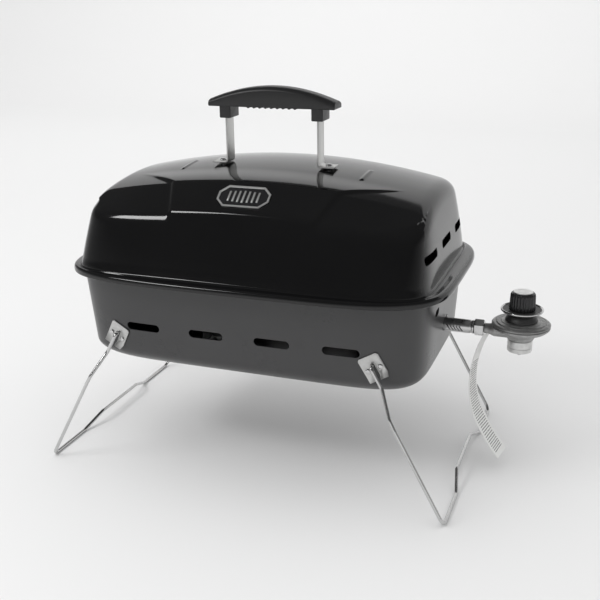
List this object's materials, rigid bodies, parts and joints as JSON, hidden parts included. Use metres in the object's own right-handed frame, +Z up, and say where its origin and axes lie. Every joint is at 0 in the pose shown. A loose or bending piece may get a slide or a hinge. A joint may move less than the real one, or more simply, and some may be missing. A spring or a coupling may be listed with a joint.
{
  "type": "portable tabletop gas grill",
  "caption": "Small gas grill: black enamelled lid with a top handle over a deep bowl, folding wire legs, and a screw-on regulator with control knob at one end.",
  "frame": {"origin": "centre of the whole object's footprint, on the table top", "axes": "+X along the grill towards the regulator, +Z up, front (emblem side) towards -Y"},
  "size_m": [0.5585, 0.2946, 0.4295],
  "materials": {
    "bright_chrome": "polished",
    "brushed_aluminium": "brushed",
    "burner_stainless": "satin",
    "cast_zinc": "cast, as-blasted",
    "charcoal_enamel": "satin",
    "dark_metal": "satin",
    "gloss_black_enamel": "gloss",
    "gloss_black_plastic": "gloss",
    "heat_plate_enamel": "satin",
    "matt_black_nylon": "matte",
    "nickel_socket": "satin",
    "nickel_wire": "plated",
    "satin_steel": "satin",
    "tag_paper": "printed paper card",
    "zinc_plate": "satin"
  },
  "bodies": {
    "bowl": {"firebox": "charcoal_enamel", "grate_rest_left": "zinc_plate", "grate_rest_right": "zinc_plate", "burner_tube": "burner_stainless", "burner_bracket": "zinc_plate", "burner_screw": "bright_chrome", "heat_plate": "heat_plate_enamel", "venturi_tube": "bright_chrome", "shutter_pin": "bright_chrome", "regulator_body": "cast_zinc", "regulator_cover": "cast_zinc", "valve_bonnet": "dark_metal", "dial_plate": "bright_chrome", "cylinder_socket": "nickel_socket", "depressor_pin": "bright_chrome", "hang_tag": "tag_paper", "bracket_rivet_front_left_1": "bright_chrome", "bracket_rivet_front_left_2": "bright_chrome", "bracket_rivet_front_right_1": "bright_chrome", "bracket_rivet_front_right_2": "bright_chrome", "bracket_rivet_rear_left_1": "bright_chrome", "bracket_rivet_rear_left_2": "bright_chrome", "bracket_rivet_rear_right_1": "bright_chrome", "bracket_rivet_rear_right_2": "bright_chrome", "leg_bracket_front_left": "zinc_plate", "leg_bracket_front_right": "zinc_plate", "leg_bracket_rear_left": "zinc_plate", "leg_bracket_rear_right": "zinc_plate"},
    "lid": {"lid": "gloss_black_enamel", "lid_badge": "brushed_aluminium", "handle_grip": "matt_black_nylon", "handle_strap_left": "satin_steel", "handle_strap_right": "satin_steel", "strap_rivet_left": "bright_chrome", "strap_rivet_right": "bright_chrome"},
    "grate": {"cooking_grate": "nickel_wire"},
    "knob": {"control_knob": "gloss_black_plastic", "knob_cap": "brushed_aluminium"},
    "nut": {"coupling_nut": "bright_chrome"},
    "leg_left": {"leg_left": "bright_chrome"},
    "leg_right": {"leg_right": "bright_chrome"}
  },
  "joints": [
    {"name": "lid_lift", "type": "slide", "parent": "bowl", "child": "lid", "axis": [0, 0, 1], "range_m": [0, 0.15]},
    {"name": "grate_lift", "type": "slide", "parent": "bowl", "child": "grate", "axis": [0, 0, 1], "range_m": [0, 0.025]},
    {"name": "knob_turn", "type": "hinge", "parent": "bowl", "child": "knob", "pos_m": [0.2475, 0, 0.2], "axis": [0, 0, 1], "range_deg": [0, 270]},
    {"name": "nut_turn", "type": "hinge", "parent": "bowl", "child": "nut", "pos_m": [0.1968, 0, 0.171], "axis": [1, 0, 0], "continuous": true},
    {"name": "leg_left_fold", "type": "hinge", "parent": "bowl", "child": "leg_left", "pos_m": [-0.1903, 0, 0.1602], "axis": [0, 1, 0], "range_deg": [0, 136]},
    {"name": "leg_right_fold", "type": "hinge", "parent": "bowl", "child": "leg_right", "pos_m": [0.1117, 0, 0.1602], "axis": [0, -1, 0], "range_deg": [0, 60], "deforming": ["hang_tag"]}
  ]
}
